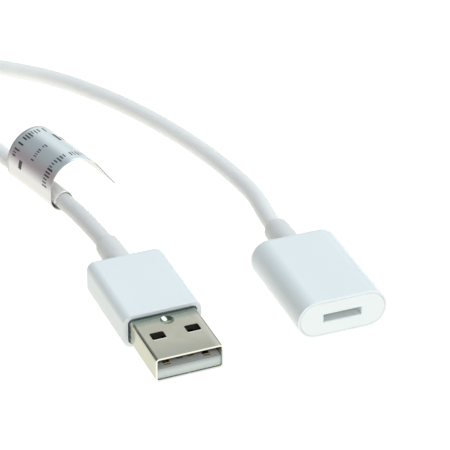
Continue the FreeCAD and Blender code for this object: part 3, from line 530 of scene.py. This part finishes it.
def strap_band():
    """The outline of the bundled turns is a rounded box: a ray turns once, its end is held inside
    the box's core, and a corner's radius is added along the ray. The outline is carried round the
    coil's axis through the strap's sweep. The bundle is four cords wide and two high, with the
    strap's thickness round it."""
    rows, columns = 97, 9
    half = np.array([2.0 * CORD_DIAMETER, CORD_DIAMETER]) + STRAP_THICKNESS
    corner = 0.5 * CORD_DIAMETER + STRAP_THICKNESS
    core = half - corner
    ray_length = 1.6 * half.max()
    joint = np.radians(200.0)
    lap = np.linspace(0.0, 1.0, rows)
    way = joint + 2 * np.pi * lap
    ray = np.stack([np.cos(way), np.sin(way)], 1)
    outline = np.clip(ray * ray_length, -core, core) + corner * ray
    across = np.linspace(-0.5, 0.5, columns) * STRAP_SWEEP + STRAP_TURN
    radius = COIL_MIDDLE + outline[:, None, 0]
    x = COIL_CENTRE[0] + radius * np.cos(across)
    y = COIL_CENTRE[1] + radius * np.sin(across)
    z = COIL_CENTRE[2] + np.repeat(outline[:, 1:], columns, 1)
    flat = np.meshgrid(lap * STRAP_LENGTH, np.linspace(0.0, STRAP_WIDTH, columns), indexing="ij")
    return np.stack([x, y, z], -1), np.stack(flat, -1)


def woven_strap():
    """Woven strap: crossed threads in its flat map, with a fuzz of loops."""
    material, start, place = new_finish("tie_strap")
    flat = start.node("TexCoord", {}, {}, out="UV")
    thread = 0.0004
    weave = woven(flat, thread)
    fuzz = place.noise(5200.0, 3.0)
    return coat_with(material, start, {
        "Base Color": (0.5 + 0.5 * weave).blend((0.025, 0.025, 0.028, 1.0), (0.07, 0.07, 0.075, 1.0)),
        "Roughness": 0.78 + 0.15 * fuzz,
        "Normal": (weave + fuzz).bump(5e-5, 0.8),
        "Sheen Weight": 0.3,
    })


tie = surface("tie", *strap_band())
tie.data.materials.append(woven_strap())
wall = tie.modifiers.new("wall", "SOLIDIFY")
wall.thickness = STRAP_THICKNESS
wall.offset = 0.0
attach(tie, "root")
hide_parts("coil_tie")


# Label
# A strip of glossy silvered film with a clear end, printed with ticks and plain bars on its outer face.
# It is stuck round the cord near the plug, leaves it below, loops up on the left, arches over the cord
# and ends in the air on the right.
FILM = 0.00012
LABEL_WIDTH = 0.015
LABEL_MIDDLE = 0.001 * np.array([-2.924, 42.80, 2.0])
# The film's section: the radius and the turn of its wrap, loop and arch, and its two straight runs.
WRAP, LOOP, ARCH = 0.00181, 0.0027, 0.00545
WRAP_TURN, LOOP_TURN, ARCH_TURN = np.radians([270.0, 90.0, 144.0])
LEG, TAIL = 0.0014, 0.0063


def label_film_grid():
    """The film's section is a curve of given bend at each length: its heading is the sum of the
    bends, and its points are the sum of short steps along the heading. The section is carried along
    the cord's own line, square to it."""
    rows, columns = 241, 25
    lengths = [WRAP_TURN * WRAP, LOOP_TURN * LOOP, LEG, ARCH_TURN * ARCH, TAIL]
    bends = [1.0 / WRAP, 1.0 / LOOP, 0.0, 1.0 / ARCH, 0.0]
    length = sum(lengths)
    run = np.linspace(0.0, length, rows)
    middle = (run[:-1] + run[1:]) / 2
    bend = np.select([middle < edge for edge in np.cumsum(lengths)], bends)
    step = run[1] - run[0]
    heading = np.pi / 2 - (np.cumsum(bend) - bend / 2) * step
    steps = step * np.stack([np.cos(heading), np.sin(heading)], 1)
    section = np.array([-WRAP, 0.0]) + np.concatenate([[(0.0, 0.0)], np.cumsum(steps, 0)])
    way = np.concatenate([[0.0], np.cumsum(np.linalg.norm(np.diff(CORD_LINE, axis=0), axis=1))])
    here = way[np.argmin(np.linalg.norm(CORD_LINE - LABEL_MIDDLE, axis=1))]
    along = here + np.linspace(-0.5, 0.5, columns) * LABEL_WIDTH
    spot = np.stack([np.interp(along, way, CORD_LINE[:, axis]) for axis in range(3)], 1)
    ahead = np.gradient(spot, axis=0)
    ahead /= np.linalg.norm(ahead, axis=1, keepdims=True)
    right = np.cross(ahead, (0.0, 0.0, 1.0))
    right /= np.linalg.norm(right, axis=1, keepdims=True)
    over = np.cross(right, ahead)
    grid = spot + section[:, None, :1] * right + section[:, None, 1:] * over
    uv = np.stack(np.meshgrid(run, np.linspace(0.0, LABEL_WIDTH, columns), indexing="ij"), -1)
    return grid, uv, length


# Print in millimetres: first and last place along the film, low and high place across it, and for a
# row of ticks the length of one tick's cell.
TICK_ROWS = [(14.6, 24.5, 12.1, 13.9, 0.62), (17.2, 21.4, 7.4, 8.5, 0.46), (14.4, 26.0, 1.3, 3.2, 0.64)]
PLAIN_BARS = [(24.6, 25.3, 8.4, 11.2), (25.9, 26.4, 8.8, 10.6), (27.0, 27.6, 8.4, 11.2),
              (14.5, 16.2, 10.4, 11.4), (4.9, 6.5, 0.0, 0.5)]


def label_print():
    """Silvered film, pale where it leaves the cord, with a painted mauve reflection and painted blue grey
    shade up its side, and clear at its end. Each row of print is a line of upright ticks, one to a
    cell: the cell's number draws the tick's height and width, and leaves one cell in five empty."""
    material, start, place = new_finish("label_film")
    flat = start.node("TexCoord", {}, {}, out="UV")
    run, across = flat.part("x") * 1000.0, flat.part("y") * 1000.0

    def drawn(number, seed):
        return start.node("TexWhiteNoise", {"noise_dimensions": "1D"}, {"W": number + seed})

    def bar(first, last, low, high):
        return (run > first) * (run < last) * (across > low) * (across < high)

    def ticks(first, last, low, high, cell):
        number, share = (run / cell).maths("FLOOR"), (run / cell).maths("FRACT")
        chance = drawn(number, low)
        foot = drawn(number, high) * (0.5 * (high - low)) + low
        tick = (across > foot) * (share < 0.3 + 0.35 * chance) * (chance < 0.8)
        return bar(first, last, low, high) * tick

    ink = sum(ticks(*row) for row in TICK_ROWS) + sum(bar(*sides) for sides in PLAIN_BARS)
    cloud = place.noise(260.0, 2.0)
    # Painted mauve reflection, then painted blue grey shade, up the film's side.
    tone = run.eased(14.0, 16.6).blend((0.93, 0.92, 0.91, 1.0), (0.47, 0.42, 0.45, 1.0))
    tone = run.eased(17.0, 19.5).blend(tone, (0.49, 0.54, 0.565, 1.0))
    tone = run.eased(20.8, 23.0).blend(tone, (0.78, 0.845, 0.855, 1.0))
    clear = run.eased(26.5, 28.5)
    tone = clear.blend(tone, (0.76, 0.77, 0.77, 1.0))
    edge = clear * (across < 0.3)
    return coat_with(material, start, {
        "Base Color": (ink + 0.6 * edge).blend(tone, (0.035, 0.035, 0.04, 1.0)),
        "Metallic": 0.15,
        "Roughness": 0.26 + 0.08 * cloud,
        "Normal": (cloud * (1.0 - clear)).bump(2e-5, 0.3),
    })


label_grid, label_uv, label_run = label_film_grid()
label = surface("label_strip", label_grid, label_uv)
label.data.materials.append(label_print())
film = label.modifiers.new("film", "SOLIDIFY")
film.thickness = FILM
film.offset = 0.0
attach(label, "root")
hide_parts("label")


# Table and light
# A plain white table that glows evenly, so nothing casts a shadow on it.
# Broad soft lamps stand high on the right, low in front and, faintly, behind, in a dim room.
def table_top():
    """One flat square in the plane that the object lies on, far wider than the view."""
    reach = 3.0
    corner = np.array([(-1, -1), (1, -1), (1, 1), (-1, 1)]) * reach
    mesh = bpy.data.meshes.new("table")
    mesh.from_pydata(np.c_[corner, np.zeros(4)], [], [(0, 1, 2, 3)])
    top = bpy.data.objects.new("table", mesh)
    bpy.context.scene.collection.objects.link(top)
    material, start, _ = new_finish("table_white")
    glow = start.node("Emission", {}, {"Color": (1.0, 0.99, 0.94, 1.0), "Strength": 1.15})
    start.node("OutputMaterial", {}, {"Surface": glow})
    material.cycles.emission_sampling = "NONE"
    mesh.materials.append(material)


def room_light():
    """The light from each direction: a dim room, and each lamp by how closely the direction points
    to it. It is cooler from above."""
    world = bpy.data.worlds.new("room")
    bpy.context.scene.world = world
    world.use_nodes = True
    world.node_tree.nodes.clear()
    start = Grain(world.node_tree)
    way = start.node("TexCoord", {}, {}, out="Generated")

    def towards(x, y, z):
        return start.node("VectorMath", {"operation": "DOT_PRODUCT"}, {0: way, 1: (x, y, z)}, out="Value")

    high_right = 3.9 * towards(0.492, 0.087, 0.866).eased(0.86, 0.98)
    low_front = 1.05 * towards(-0.165, -0.937, 0.309).eased(0.5, 0.95)
    behind = 0.70 * towards(0.287, 0.782, 0.554).eased(0.85, 0.98)
    behind_left = 0.16 * towards(-0.556, 0.780, 0.289).eased(0.85, 0.98)
    strength = 0.15 + high_right + low_front + behind + behind_left
    tint = towards(0.0, 0.0, 1.0).eased(0.2, 1.0).blend((1.0, 1.0, 0.985, 1.0), (0.92, 1.0, 1.05, 1.0))
    sky = start.node("Background", {}, {"Color": tint, "Strength": strength})
    start.node("OutputWorld", {}, {"Surface": sky})


table_top()
room_light()
bpy.context.scene.view_settings.view_transform = "Standard"


# Camera
# A long lens a little above the table, to the left of the plug, looking down over both connectors.
# Its place and turn are fitted to the edges of the plug's shell and of both housings.
EYE = 0.001 * np.array([-126.27, -341.295, 242.76])
RIGHT = np.array([0.92446, -0.38126, 0.00309])
UP = np.array([0.19833, 0.48779, 0.85013])
lens = bpy.data.cameras.new("view")
lens.lens = 203.03
lens.sensor_width = 36.0
lens.clip_start = 0.01
lens.clip_end = 10.0
camera = bpy.data.objects.new("view", lens)
bpy.context.scene.collection.objects.link(camera)
turned = np.eye(4)
turned[:3, :4] = np.stack([RIGHT, UP, np.cross(RIGHT, UP), EYE], 1)
camera.matrix_world = Matrix(turned)
bpy.context.scene.camera = camera
